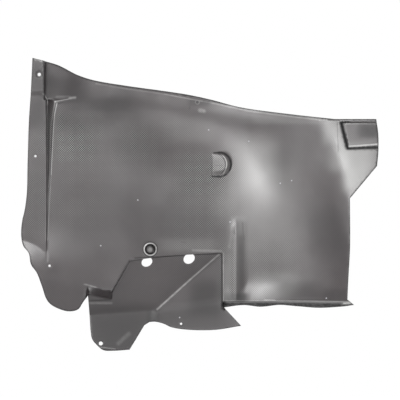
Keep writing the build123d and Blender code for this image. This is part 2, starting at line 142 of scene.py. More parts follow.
GROOVES = [(17.8, -62, 17.4, -200, 2.0, 0.7), (17.4, -200, 15.2, -330, 1.4, 0.6), (32.6, -58, 26.2, -96, 0.9, 0.9),
           (26.2, -96, 24.6, -140, 0.9, 0.8), (24.6, -140, 20.4, -224, 0.9, 0.8), (34, -58.5, 50, -54.5, 1.2, 0.8),
           (50, -54.5, 66, -51.6, 1.1, 0.6), (603.5, -97, 614, -144, 3.6, 1.0), (614, -146.5, 674, -144, 3.2, 1.0),
           (601, -94, 617, -93.5, 1.8, 1.0), (595, -95, 595.5, -152, 0.8, 0.4), (363.8, -358, 363.8, -454, 1.2, 0.9),
           (362, -357, 190, -366, 1.1, 0.8), (178, -371, 143, -434, 1.2, 0.6), (226, -476, 366, -454, 2.6, 0.35),
           (104, -489, 226, -476, 2.6, 0.25), (100, -452, 140, -450, 1.8, 0.6), (405, -296, 408, -330, 2.4, 0.35),
           (366, -460, 622, -461, 6.0, 0.95), (500, -449.5, 610, -449.5, 1.6, 0.45), (566, -458, 580, -457, 1.6, 0.9),
           (302, -48, 299, -66, 1.8, 0.4), (305, -46.5, 320, -49, 1.6, 0.4), (327, -52, 340, -54.5, 2.6, 0.6),
           (348, -155.4, 362, -154.6, 1.5, 1.0), (344, -202.4, 362, -203.6, 1.7, 1.0),
           (346, -160, 343.4, -200, 1.4, 0.45), (352, -181, 364, -180.4, 0.9, 0.35),
           (122, -540, 146, -543.5, 1.0, 0.5), (282, -334, 292, -336, 1.4, 0.4)]
# Rings of the same two kinds, with a painted highlight and with painted shade: middle x and z, radius, half width in
# mm, least x, strength
BRIGHT_RINGS = [(CUP_X, CUP_Z, 12.2, 1.0, 0, 0.9), (348, -179, 25.6, 0.9, 366, 0.6),
                (314.8, -53.8, 4.0, 0.8, 0, 0.25), (CUP_X - 0.5, CUP_Z - 1.0, 2.5, 2.6, 0, 0.5),
                (0, 0, 2.8, 0.7, -9, 0.4)]
DARK_RINGS = [(CUP_X, CUP_Z, 8.8, 1.6, 0, 1.0), (CUP_X, CUP_Z, 14.6, 0.9, 0, 0.9),
              (358, -179, 24.4, 2.2, 356, 1.0), (347, -179, 23.8, 0.8, 352, 0.9),
              (314.8, -53.8, 1.4, 1.4, 0, 0.6), (0, 0, 6.6, 0.8, -9, 0.5)]
RING_EASE = 2.0

# Trimmed edge, x and z in mm: each run goes on from the last place, straight to one place or smoothly through more
FLANGE_CORNER = (-13.6, 33)
EDGE_RUNS = [
    [(35, 20), (75, 0), (107, -10.5), (169, -21), (241, -30.5), (295, -38.5), (340, -48), (402, -64), (498, -77.5),
     (589, -88)],
    [(672.5, -88)],
    [(676.5, -117), (676.5, -150), (673.5, -182)],
    [(618.8, -247)],
    [(618.8, -344), (616, -397), (613.4, -448)],
    [(626.8, -459)],
    [(606, -462.5), (558, -466), (514, -463), (479, -460.5), (442, -464.5), (407, -461), (368.5, -466)],
    [(402.4, -502)],
    [(350, -510.5), (295, -510.5), (263, -506), (247, -499), (230, -495), (218.6, -495.5)],
    [(208, -502)],
    [(190, -532)],
    [(178.4, -550.8)],
    [(147, -552.8), (126, -551.5), (112.8, -541), (103.4, -529), (100, -510)],
    [(NOTCH_X + 1.5, NOTCH_Z)],
    [(86, -455)],
    [(76.5, -468.5), (58, -472.3), (38, -467), (21.5, -457.5), (13, -446), (5.8, -424), (-5, -395), (-16.5, -378),
     (-21, -356), (-32, -341), (-36, -322), (-34.5, -294), (-29, -269), (-25, -238), (-23.2, -171), (-20.6, -91),
     (-17, -37), FLANGE_CORNER],
]
# Screw holes and windows: middle x and z, width, height, tilt in degrees, points round the ring
SCREW_HOLES = [(0, 0, 6.5, 6.5, 0, 24), (-7.6, -162.4, 4.5, 4.5, 0, 20), (20.4, -380.8, 4.5, 4.5, 0, 20),
               (120.8, -538, 8, 8, 0, 24), (282, -498.8, 4.5, 4.5, 0, 20)]
WINDOWS = [(213.8, -374, 22.4, 17.6, 28, 48), (298.2, -367.5, 23.4, 19.4, 32, 48)]
WINDOW_MARGIN = 0.1

# Net, in mm: steps along the edge and along a rougher edge for painting, room that guide lines and fine
# places leave to the edge and to the holes, and offsets of fine places in half widths of their line
EDGE_STEP, PAINT_STEP = 2.4, 9.0
GUIDE_ROOM, FINE_ROOM, FINE_OFFSETS = (1.0, 0.8), (0.6, 0.4), (-1.6, -0.4, 0.4, 1.6)


def step_up(value, middle, width):
    """Ease from 0 to 1 around a middle value."""
    return 0.5 + 0.5 * np.tanh((value - middle) / width)


def ramp_up(value, width):
    """Ease from 0 into a straight climb that starts at 0."""
    return np.maximum(value, 0.0) + width * np.log1p(np.exp(-np.abs(value) / width))


def round_max(a, b, reach):
    """The larger of two heights, with the crease between them rounded."""
    near = np.maximum(reach - np.abs(a - b), 0.0) / reach
    return np.maximum(a, b) + near * near * reach / 4.0


def round_min(a, b, reach):
    """The smaller of two heights, with the crease between them rounded."""
    return -round_max(-a, -b, reach)


def across(distance, width):
    """0 outside an outline and 1 inside it, through an S-shaped wall of that half width."""
    t = np.clip(0.5 + distance / (2.0 * width), 0.0, 1.0)
    return t * t * (3.0 - 2.0 * t)


def dish(x, z):
    """Section of the main panel: a bowl whose deepest line leans left towards the top."""
    middle = DISH_MIDDLE - DISH_SHIFT * step_up(z, SHIFT_Z, SHIFT_WIDTH)
    bowl = DISH_DEPTH * np.sin(math.pi / 2.0 * (x - DISH_START) / (middle - DISH_START)) ** 2
    rise = DISH_DEPTH - RISE_DROP * ((x - middle) / (RISE_END - middle)) ** 2
    return np.where(x <= middle, bowl, rise)


def panel_depth(x, z):
    """Depth of the main panel's front face."""
    lift = FADE_LOW + (FADE_HIGH - FADE_LOW) * step_up(z, FADE_MIDDLE, FADE_WIDTH)
    lift = lift * np.exp(-(((x - FADE_START) / FADE_REACH) ** 2))
    below = EDGE_LOW + EDGE_RISE * np.exp(-0.5 * ((x - EDGE_START) / EDGE_REACH) ** 2) - z
    share = step_up(x, BAND_START, BAND_EASE) * (1.0 - step_up(x, BAND_END, BAND_EASE))
    band = BAND_HEIGHT * (1.0 - step_up(below, BAND_MIDDLE, BAND_WIDTH))
    band = band - BAND_LEAN * ramp_up(BAND_NEAR - below, CORNER_EASE)
    swell = SWELL_HEIGHT * step_up(below, SWELL_MIDDLE, SWELL_WIDTH) * step_up(x, SWELL_START, SWELL_EASE)
    lip = LIP_LEAN * ramp_up(LIP_Z - z, CORNER_EASE) * step_up(x, LIP_START, LIP_EASE)
    corner = CORNER_LEAN * ramp_up(z - VALLEY_TOP, CORNER_EASE) * (1.0 - step_up(x, BAND_START, BAND_EASE))
    lobe = LOBE_EDGE_LEAN * ramp_up(LOBE_EDGE_Z - LOBE_EDGE_SLOPE * x - z, CORNER_EASE)
    lobe = lobe * (1.0 - step_up(x, LOBE_EDGE_END, BAND_EASE))
    open_face = dish(x, z) + lift - band * share - swell - lip + corner + lobe
    tab = TAB_DEPTH + TAB_SLOPE * (x - TAB_X) + TAB_LEAN * (z - TAB_Z)
    tab = tab - TAB_RELEASE * ramp_up(TAB_LEFT - x, TAB_EASE)
    return tab + ramp_up(open_face - tab, TAB_EASE)


def panel_skin(x, z, inset):
    """Depth of the panel, a given distance into the sheet."""
    along = panel_depth(x + 0.5, z) - panel_depth(x - 0.5, z)
    up = panel_depth(x, z + 0.5) - panel_depth(x, z - 0.5)
    return panel_depth(x, z) + inset * np.sqrt(1.0 + along**2 + up**2)


def at(x, z):
    """Depth of the panel at one place."""
    return float(panel_depth(np.array([x]), np.array([z]))[0])


def facet(x, z, x0, depth, z0, slope, lean, inset):
    """Depth of a flat face of the moulding."""
    thick = inset * math.sqrt(1.0 + slope**2 + lean**2)
    return depth + slope * (x - x0) + lean * (z - z0) + thick


def polygon_distance(x, z, outline):
    """Distance inside an outline, negative outside it."""
    ring = np.array(outline, float)
    ahead = np.roll(ring, -1, axis=0)
    best = np.full(x.shape, 1e18)
    inside = np.zeros(x.shape, bool)
    for (ax, az), (bx, bz) in zip(ring, ahead):
        ux, uz = bx - ax, bz - az
        t = np.clip(((x - ax) * ux + (z - az) * uz) / (ux * ux + uz * uz), 0.0, 1.0)
        best = np.minimum(best, (x - ax - t * ux) ** 2 + (z - az - t * uz) ** 2)
        if az != bz:
            crosses = (az > z) != (bz > z)
            inside ^= crosses & (x < ax + (z - az) * ux / uz)
    return np.sqrt(best) * np.where(inside, 1.0, -1.0)


def strokes(x, z, rows):
    """Strength of fine straight lines at each point, from rows of start, end, half width and strength."""
    total = np.zeros(x.shape)
    for ax, az, bx, bz, half, strength in rows:
        ux, uz = bx - ax, bz - az
        t = np.clip(((x - ax) * ux + (z - az) * uz) / (ux * ux + uz * uz), 0.0, 1.0)
        away = np.hypot(x - ax - t * ux, z - az - t * uz)
        total = np.maximum(total, strength * across(half - away, 0.6 * half))
    return total


def ring_marks(x, z, rows):
    """Strength of fine rings at each point, from rows of middle, radius, half width, least x and strength."""
    total = np.zeros(x.shape)
    for cx, cz, radius, half, least, strength in rows:
        away = np.abs(np.hypot(x - cx, z - cz) - radius)
        total = np.maximum(total, strength * across(half - away, 0.6 * half) * across(x - least, RING_EASE))
    return total


def fine_marks(x, z):
    """Strength of the beads, which carry a painted highlight, and of the grooves, which carry painted shade, at each
    point.
    """
    bead = np.maximum(strokes(x, z, BEADS), ring_marks(x, z, BRIGHT_RINGS))
    return bead, np.maximum(strokes(x, z, GROOVES), ring_marks(x, z, DARK_RINGS))


def fine_places():
    """Places beside every fine line and ring, so that the net can show them crisply."""
    places = []
    for ax, az, bx, bz, half, _ in BEADS + GROOVES:
        length = math.dist((ax, az), (bx, bz))
        nx, nz = (az - bz) / length, (bx - ax) / length
        for px, pz in straight((ax, az), (bx, bz), 1.6 + half):
            places += [(px + nx * half * k, pz + nz * half * k) for k in FINE_OFFSETS]
    for cx, cz, radius, half, least, _ in BRIGHT_RINGS + DARK_RINGS:
        for k in FINE_OFFSETS:
            reach = radius + half * k
            if reach > 0.3:
                count = max(8, round(reach * 6.3 / (1.4 + 0.5 * half)))
                places += [p for p in arc((cx, cz), reach, 0, 360, count)[:-1] if p[0] > least - 3.0]
    return np.array(places)


def arc(centre, radius, start, end, count):
    """Points on an arc, angles in degrees."""
    turns = [math.radians(start + (end - start) * i / count) for i in range(count + 1)]
    return [(centre[0] + radius * math.cos(t), centre[1] + radius * math.sin(t)) for t in turns]


def pocket_outline():
    """Outline of the pocket and bracket, which lie behind the panel."""
    span = POCKET_RIGHT - POCKET_LEFT
    top = []
    for i in range(25):
        t = i / 24.0
        chord = POCKET_LEFT_Z + (POCKET_RIGHT_Z - POCKET_LEFT_Z) * t
        top.append((POCKET_LEFT + span * t, chord + 4.0 * POCKET_BOW * t * (1.0 - t)))
    above = SHOULDER_Z + SHOULDER_REACH
    return top + [(POCKET_RIGHT, FOLD_BOTTOM), (TAIL_RIGHT, FOLD_BOTTOM), (TAIL_RIGHT, PANEL_BOTTOM),
                  (NOTCH_X, PANEL_BOTTOM), (NOTCH_X, above), (POCKET_FOOT_X, above),
                  (POCKET_FOOT_X, POCKET_FOOT_Z)]


def half_pad_outline():
    """Outline of the half-round pad."""
    turn = HALF_PAD_X + HALF_PAD_FLAT
    return [(HALF_PAD_X, HALF_PAD_Z + HALF_PAD_RADIUS), (HALF_PAD_X, HALF_PAD_Z - HALF_PAD_RADIUS)] + arc(
        (turn, HALF_PAD_Z), HALF_PAD_RADIUS, -90, 90, 24)


def round_pad_distance(x, z):
    """Distance inside the half-round pad's drafted side, negative outside it."""
    turn = HALF_PAD_X + HALF_PAD_FLAT
    beyond = np.maximum(x - turn, 0.0)
    return HALF_PAD_RADIUS - np.hypot(beyond, z - HALF_PAD_Z)


def label_outline():
    """Outline of the plain recess in the tab."""
    return [(LABEL_LEFT, LABEL_TOP), (LABEL_FOOT, LABEL_BOTTOM), (PANEL_RIGHT, LABEL_BOTTOM),
            (PANEL_RIGHT, LABEL_TOP)]


def pocket_depth(x, z, inset):
    """Depth of the pocket's flat faces, with their creases rounded."""
    corner = at(POCKET_RIGHT, POCKET_RIGHT_Z) + POCKET_STEP
    upper = facet(x, z, POCKET_RIGHT, corner, POCKET_RIGHT_Z, UPPER_SLOPE, UPPER_LEAN, inset)
    side = facet(x, z, POCKET_RIGHT, corner, POCKET_RIGHT_Z, SIDE_SLOPE, SIDE_LEAN, inset)
    lobe = facet(x, z, BEND_X, BEND_DEPTH, BEND_Z, LOBE_SLOPE, LOBE_LEAN, inset)
    tail = facet(x, z, BEND_X, BEND_DEPTH, BEND_Z, TAIL_SLOPE, TAIL_LEAN, inset)
    low = round_min(lobe, tail, LOBE_BEND)
    faces = round_min(round_min(upper, side, POCKET_BEND), low, POCKET_BEND)
    shoulder = facet(x, z, SHOULDER_X, at(SHOULDER_X, SHOULDER_Z), SHOULDER_Z, SHOULDER_SLOPE, SHOULDER_LEAN,
                     inset)
    beside = [(0.0, PANEL_BOTTOM), (POCKET_FOOT_X, PANEL_BOTTOM), (POCKET_FOOT_X, POCKET_FOOT_Z),
              (POCKET_LEFT, POCKET_LEFT_Z), (0.0, POCKET_LEFT_Z)]
    near = across(polygon_distance(x, z, beside) - inset, FLANGE_WALL)
    return np.where(near > 0, faces + (round_min(faces, shoulder, SHOULDER_BEND) - faces) * near, faces)


def with_recess(x, z, y, inset):
    """The plain recess sunk into the tab."""
    floor = facet(x, z, TAB_X, TAB_DEPTH + LABEL_DEPTH, TAB_Z, TAB_SLOPE, TAB_LEAN, inset)
    share = across(polygon_distance(x, z, label_outline()) + inset, LABEL_WALL)
    return y + (np.maximum(y, floor) - y) * share


def with_flange(x, z, y, inset):
    """The flat screw flange, with the raised pad at its top."""
    share = across(np.where(z > VALLEY_TOP, PAD_WIDTH, FLANGE_WIDTH) - inset - x, FLANGE_WALL)
    share = share * across(z - FLANGE_BOTTOM, FLANGE_RUN_OUT)
    pad = inset - PAD_HEIGHT * across(z - PAD_BOTTOM - inset, PAD_STEP)
    return y + (np.minimum(y, pad) - y) * share


def with_valley(x, z, y, inset):
    """The valley between flange and panel, and the leaning corner above it."""
    start = at(VALLEY_X, VALLEY_TOP)
    valley = facet(x, z, VALLEY_X, start, VALLEY_TOP, -VALLEY_FALL, VALLEY_RUN_OUT, inset)
    share = across(x - FLANGE_WIDTH + inset, FLANGE_WALL) * across(VALLEY_TOP - z, FLANGE_WALL)
    share = share * across(z - FLANGE_BOTTOM, VALLEY_END)
    y = y + (np.where(x < VALLEY_RIGHT, round_max(y, valley, VALLEY_BEND), y) - y) * share
    corner = facet(x, z, VALLEY_X, start + CORNER_STEP, VALLEY_TOP, 0.0, CORNER_LEAN, inset)
    share = across(x - PAD_WIDTH + inset, FLANGE_WALL) * across(z - VALLEY_TOP, CORNER_WALL)
    return y + (np.where(x < CORNER_RIGHT, round_max(y, corner, CORNER_BEND), y) - y) * share


def with_rib(x, z, y, inset):
    """The upright rib beside the pocket, which fades out at its top."""
    foot = at(RIB_CREST, RIB_SHOULDER)
    lean = (foot - at(RIB_CREST, LIP_Z)) / (RIB_SHOULDER - LIP_Z)
    crest = foot - RIB_HEIGHT
    left = facet(x, z, RIB_CREST, crest, RIB_SHOULDER, -RIB_HEIGHT / (RIB_CREST - RIB_LEFT), lean, inset)
    right = facet(x, z, RIB_CREST, crest, RIB_SHOULDER, RIB_HEIGHT / (RIB_RIGHT - RIB_CREST), lean, inset)
    rib = round_max(left, right, RIB_BEND)
    bend = RIB_FOOT_BEND + RIB_LEFT_BEND * (1.0 - step_up(x, RIB_CREST + RIB_EASE, RIB_EASE))
    risen = across((RIB_TOP + RIB_SHOULDER) / 2.0 - z, (RIB_TOP - RIB_SHOULDER) / 2.0 + RIB_EASE)
    return np.where(np.abs(x - RIB_CREST) < RIB_NEAR, y + (round_min(y, rib, bend) - y) * risen, y)


def with_half_pad(x, z, y, inset):
    """The half-round pad, flush at its straight side and proud at its round side."""
    lean = at(HALF_PAD_X, HALF_PAD_Z + 0.5) - at(HALF_PAD_X, HALF_PAD_Z - 0.5)
    face = facet(x, z, HALF_PAD_X, at(HALF_PAD_X, HALF_PAD_Z), HALF_PAD_Z, HALF_PAD_SLOPE, lean, inset)
    drafted = math.sqrt(1.0 + HALF_PAD_DRAFT**2)
    side = at(HALF_PAD_X + HALF_PAD_FLAT + HALF_PAD_RADIUS, HALF_PAD_Z) + inset * drafted
    side = side - HALF_PAD_DRAFT * round_pad_distance(x, z)
    pad = round_max(face, side, HALF_PAD_BEND)
    share = across(x - HALF_PAD_X, HALF_PAD_WALL)
    raised = y + (round_min(y, pad, HALF_PAD_FOOT_BEND) - y) * share
    return np.where(x > HALF_PAD_X - 2.0 * HALF_PAD_WALL, raised, y)


def with_fold(x, z, y, inset):
    """The flange that folds back along the bottom right."""
    thick = inset * math.sqrt(1.0 + FOLD_LEAN**2)
    fold = panel_depth(x, np.full(x.shape, FOLD_Z)) + FOLD_LEAN * (FOLD_Z - z) + thick
    return np.where(x > POCKET_RIGHT + inset, round_max(y, fold, FOLD_BEND), y)


def with_pocket(x, z, y, inset):
    """The pocket and its bracket, and the tail that reaches past them under the fold."""
    share = across(polygon_distance(x, z, pocket_outline()) + inset, POCKET_WALL)
    y = y + (np.maximum(y, pocket_depth(x, z, inset)) - y) * share
    tail = facet(x, z, BEND_X, BEND_DEPTH, BEND_Z, TAIL_SLOPE, TAIL_LEAN, inset)
    share = across(FOLD_BOTTOM - z, TAIL_WALL) * (x > POCKET_FOOT_X)
    return y + (np.minimum(y, tail) - y) * share


def with_cup(x, z, y, inset):
    """The round cup, with a raised rim on the wheel side."""
    seat = at(CUP_X, CUP_Z)
    radius = np.hypot(x - CUP_X, z - CUP_Z)
    tilt = (at(CUP_X + 0.5, CUP_Z) - at(CUP_X - 0.5, CUP_Z)) * (x - CUP_X)
    if not inset:
        rim = across(CUP_RADIUS + CUP_RIM_WIDTH - radius, CUP_RIM_WALL)
        y = y + (seat + tilt - CUP_RIM_HEIGHT - y) * rim
    well = across(CUP_RADIUS + inset - radius, CUP_WALL)
    return y + (seat + tilt + CUP_DEPTH + inset - y) * well


def with_fine_marks(x, z, y):
    """The dimple round the upper screw hole, and the fine beads and grooves of the front face."""
    y = y + (DIMPLE_DEPTH - PAD_HEIGHT - y) * across(DIMPLE_RADIUS - np.hypot(x, z), DIMPLE_WALL)
    bead, groove = fine_marks(x, z)
    return y - BEAD_HEIGHT * bead + GROOVE_DEPTH * groove


FORMS = (with_recess, with_flange, with_valley, with_rib, with_half_pad, with_fold, with_pocket, with_cup)


def sheet_depth(x, z, inset):
    """Depth of the moulded sheet's face, a given distance into it."""
    y = panel_skin(x, z, inset)
    for form in FORMS:
        y = form(x, z, y, inset)
    return y if inset else with_fine_marks(x, z, y)


def through(points, step):
    """A smooth open curve through the points, as points a step apart."""
    knots = [Vector((p[0], p[1], 0.0)) for p in points]
    ends = [2 * knots[0] - knots[1]] + knots + [2 * knots[-1] - knots[-2]]
    out = []
    for i in range(1, len(ends) - 2):
        p0, p1, p2, p3 = ends[i - 1:i + 3]
        spans = [max((b - a).length, 1e-6) ** 0.5 for a, b in ((p0, p1), (p1, p2), (p2, p3))]
        m1 = (p1 - p0) / spans[0] - (p2 - p0) / (spans[0] + spans[1]) + (p2 - p1) / spans[1]
        m2 = (p2 - p1) / spans[1] - (p3 - p1) / (spans[1] + spans[2]) + (p3 - p2) / spans[2]
        m1, m2 = m1 * spans[1], m2 * spans[1]
        count = max(1, round((p2 - p1).length / step))
        for k in range(count):
            t = k / count
            a = 2 * t**3 - 3 * t**2 + 1
            b = t**3 - 2 * t**2 + t
            c = -2 * t**3 + 3 * t**2
            d = t**3 - t**2
            q = a * p1 + b * m1 + c * p2 + d * m2
            out.append((q.x, q.y))
    return out + [tuple(points[-1])]


def straight(start, end, step):
    """A straight run, as points a step apart."""
    count = max(1, round(math.dist(start, end) / step))
    return [(start[0] + (end[0] - start[0]) * i / count, start[1] + (end[1] - start[1]) * i / count)
            for i in range(count + 1)]


def sheet_outline(step):
    """Trimmed edge of the sheet, seen from the wheel, as a closed ring of points."""
    ring, last = [], FLANGE_CORNER
    for run in EDGE_RUNS:
        curve = through([last] + run, step) if len(run) > 1 else straight(last, run[0], step)
        ring += curve[:-1]
        last = run[-1]
    return ring


def ellipse(cx, cz, width, height, tilt, count):
    """A closed ring of points on a tilted ellipse."""
    turn = math.radians(tilt)
    ring = []
    for i in range(count):
        t = 2.0 * math.pi * i / count
        a, b = width / 2.0 * math.cos(t), height / 2.0 * math.sin(t)
        ring.append((cx + a * math.cos(turn) - b * math.sin(turn), cz + a * math.sin(turn) + b * math.cos(turn)))
    return ring


def clipped(ring, outline, margin):
    """A ring of points, pulled back inside an outline."""
    kept = []
    for x, z in ring:
        for _ in range(12):
            d = float(polygon_distance(np.array([x]), np.array([z]), outline)[0])
            if d >= margin:
                break
            z -= margin - d
        kept.append((x, z))
    return kept


def hole_rings():
    """Rings of points of the screw holes, and of the windows, which the pocket's top edge trims."""
    pocket = pocket_outline()
    screws = [ellipse(*row) for row in SCREW_HOLES]
    return screws + [clipped(ellipse(*row), pocket, WINDOW_MARGIN) for row in WINDOWS]


def shifted(ring, amount):
    """A closed ring of points moved to its left by an amount."""
    pts = np.array(ring, float)
    along = np.roll(pts, -1, axis=0) - np.roll(pts, 1, axis=0)
    along /= np.maximum(np.linalg.norm(along, axis=1, keepdims=True), 1e-9)
    return pts + amount * np.stack([-along[:, 1], along[:, 0]], axis=1)


def area_of(ring):
    """Signed area of a ring."""
    pts = np.array(ring, float)
    nxt = np.roll(pts, -1, axis=0)
    return 0.5 * float(np.sum(pts[:, 0] * nxt[:, 1] - nxt[:, 0] * pts[:, 1]))


def guide_lines(inset):
    """Lines that the net follows: walls and creases of the moulding."""
    lines = []
    rails = (-1.6, -0.8, 0.0, 0.8, 1.6)

    def along(points, closed=False, offsets=rails, step=2.6):
        """Add lines beside a run of points, at the given offsets to its left."""
        run = []
        ends = points + points[:1] if closed else points
        for a, b in zip(ends, ends[1:]):
            run += straight(a, b, step)[:-1]
        if not closed:
            run.append(ends[-1])
        pts = np.array(run)
        if closed:
            ahead, behind = np.roll(pts, -1, axis=0), np.roll(pts, 1, axis=0)
        else:
            ahead = np.vstack([pts[1:], pts[-1:]])
            behind = np.vstack([pts[:1], pts[:-1]])
        way = ahead - behind
        way /= np.maximum(np.linalg.norm(way, axis=1, keepdims=True), 1e-9)
        side = np.stack([-way[:, 1], way[:, 0]], axis=1)
        for offset in offsets:
            lines.append((pts + side * offset, closed))

    pocket = pocket_outline()
    outward = tuple(r + inset for r in rails)
    along([pocket[-1]] + pocket[:26], offsets=outward, step=2.0)
    along([(POCKET_FOOT_X, -470.0), (POCKET_FOOT_X, POCKET_FOOT_Z)], offsets=outward)
    along([(NOTCH_X - 4.0, SHOULDER_Z - 4.0), (POCKET_FOOT_X - inset, SHOULDER_Z + 0.5)])
    along(half_pad_outline(), closed=True, offsets=tuple(r - inset for r in rails))
    label = label_outline()
    along([label[3], label[0], label[1], label[2]], offsets=outward)
    along([(FLANGE_WIDTH - inset, VALLEY_TOP), (FLANGE_WIDTH - inset, FLANGE_BOTTOM)])
    along([(PAD_WIDTH - inset, 40.0), (PAD_WIDTH - inset, VALLEY_TOP)])
    along([(PAD_WIDTH - inset, VALLEY_TOP), (75.0, VALLEY_TOP)], offsets=(-1.6, -0.6, 0.6, 1.6))
    along([(RIB_CREST, RIB_TOP), (RIB_CREST, FOLD_Z)], offsets=(-2.4, -1.2, 0.0, 1.2, 2.4))
    along([(RIB_RIGHT, RIB_TOP - 20.0), (RIB_RIGHT, FOLD_Z)], offsets=(-1.5, 0.0, 1.5))
    along([(RIB_LEFT, RIB_TOP - 20.0), (RIB_LEFT, FOLD_Z)], offsets=(-1.5, 0.0, 1.5))
    along([(POCKET_RIGHT + 2.0, FOLD_Z), (622.0, FOLD_Z)], offsets=(-3.6, -2.4, -1.2, 0.0, 1.2, 2.4))
    along(arc((CUP_X, CUP_Z), CUP_RADIUS + inset, 0, 360, 36)[:-1], closed=True,
          offsets=(-1.0, -0.4, 0.4, 1.0), step=3.0)
    if not inset:
        along(arc((CUP_X, CUP_Z), CUP_RADIUS + CUP_RIM_WIDTH, 0, 360, 40)[:-1], closed=True,
              offsets=(-1.2, -0.4, 0.4, 1.2), step=3.0)
        along(arc((0, 0), DIMPLE_RADIUS, 0, 360, 28)[:-1], closed=True, offsets=(-DIMPLE_WALL, 0.0, DIMPLE_WALL),
              step=3.0)
    return lines


def clear_of(places, rings, edge_room, hole_room):
    """Which places lie inside the sheet's edge and outside its holes, with that much room."""
    x, z = places[:, 0], places[:, 1]
    free = polygon_distance(x, z, rings[0]) > edge_room
    for ring in rings[1:]:
        free &= polygon_distance(x, z, ring) < -hole_room
    return free


def lookup(points):
    """Search tree over flat points."""
    tree = KDTree(len(points))
    for i, p in enumerate(points):
        tree.insert((p.x, p.y, 0.0), i)
    tree.balance()
    return tree


def add_guide(points, edges, line, free, closed):
    """Add the free stretches of one guide line to the net's points and edges."""
    last = first = None
    for ok, place in zip(free, line.tolist()):
        if not ok:
            last = None
            continue
        points.append(Vector(place))
        here = len(points) - 1
        if last is not None:
            edges.append((last, here))
        elif first is None:
            first = here
        last = here
    if closed and last is not None and bool(free.all()):
        edges.append((last, first))


def hex_grid(ring, spacing):
    """Evenly spread places over the box of a ring."""
    low, high = np.min(ring, axis=0), np.max(ring, axis=0)
    rows = []
    for j, z in enumerate(np.arange(low[1], high[1], spacing * math.sqrt(3.0) / 2.0)):
        x = np.arange(low[0] + (j % 2) * spacing / 2.0, high[0], spacing)
        rows.append(np.stack([x, np.full(x.shape, z)], axis=1))
    return np.vstack(rows)


def net(rings, inset, spacing):
    """Points and triangles over the sheet, inside its edge and outside its holes."""
    points, edges = [], []
    for ring in rings:
        first = len(points)
        points += [Vector(place) for place in ring]
        edges += [(first + i, first + (i + 1) % len(ring)) for i in range(len(ring))]
    fixed = len(points)
    for line, closed in guide_lines(inset):
        add_guide(points, edges, line, clear_of(line, rings, *GUIDE_ROOM), closed)
    if not inset:
        fine = fine_places()
        points += [Vector(place) for place in fine[clear_of(fine, rings, *FINE_ROOM)].tolist()]
    near = lookup(points)
    grid = hex_grid(rings[0], spacing)
    for place in grid[clear_of(grid, rings, 0.6 * spacing, 0.6 * spacing)].tolist():
        if near.find((*place, 0.0))[2] > 0.5 * spacing:
            points.append(Vector(place))
    verts, _, faces, origin, _, _ = delaunay_2d_cdt(points, edges, [], 0, 1e-4, True)
    verts, tris = np.array([tuple(v) for v in verts]), np.array(faces)
    place = {old: new for new, olds in enumerate(origin) for old in olds if old < fixed}
    loops, first = [], 0
    for ring in rings:
        loops.append([place[first + i] for i in range(len(ring))])
        first += len(ring)
    return verts, tris[clear_of(verts[tris].mean(axis=1), rings, 0.0, 0.0)], loops


def rim_lines(ring, sign, soft, wall):
    """Four lines of points that round a rim off, from the front face to the back one."""
    lines = []
    for share, drop, inset in ((0.3, 0.28, 0.0), (0.0, 1.0, 0.0), (0.0, 1.0, wall), (0.3, 0.28, wall)):
        line = shifted(ring, sign * soft * share)
        y = sheet_depth(line[:, 0], line[:, 1], inset) + (-soft if inset else soft) * drop
        lines.append(np.stack([line[:, 0], y, line[:, 1]], axis=1))
    return lines


def closed_mesh(name, points, faces):
    """A smooth mesh whose faces all point outwards."""
    mesh = bpy.data.meshes.new(name)
    mesh.from_pydata(points.tolist(), [], faces)
    mesh.validate()
    mesh.polygons.foreach_set("use_smooth", [True] * len(mesh.polygons))
    bm = bmesh.new()
    bm.from_mesh(mesh)
    bmesh.ops.recalc_face_normals(bm, faces=bm.faces)
    bm.to_mesh(mesh)
    bm.free()
    return mesh


def paint(mesh, points, front_count, face_count):
    """Store on each point where the sheet is grained, where it is dull near its edge, and where painted highlights
    and painted shade lie.
    """
    x, z = points[:, 0] / MM, points[:, 2] / MM
    rim, front = np.ones(len(points)), np.ones(len(points))
    rim[:face_count] = 0.0
    front[front_count:face_count] = 0.0
    bead, groove = fine_marks(x, z)
    within = polygon_distance(x, z, sheet_outline(PAINT_STEP))
    marks = {"rim": rim, "front": front, "crease": crease_of(points, mesh),
             "edge": np.clip(1.0 - within / EDGE_DULL, 0.0, 1.0), "grained": patches(x, z, GRAINED),
             "shade_patch": patches(x, z, SHADE_PATCHES), "highlight_patch": patches(x, z, HIGHLIGHT_PATCHES),
             "bead": bead * (front * (1.0 - rim)), "groove": groove * (front * (1.0 - rim))}
    for key, values in marks.items():
        attribute = mesh.attributes.new(key, "FLOAT", "POINT")
        attribute.data.foreach_set("value", np.asarray(values, np.float32))


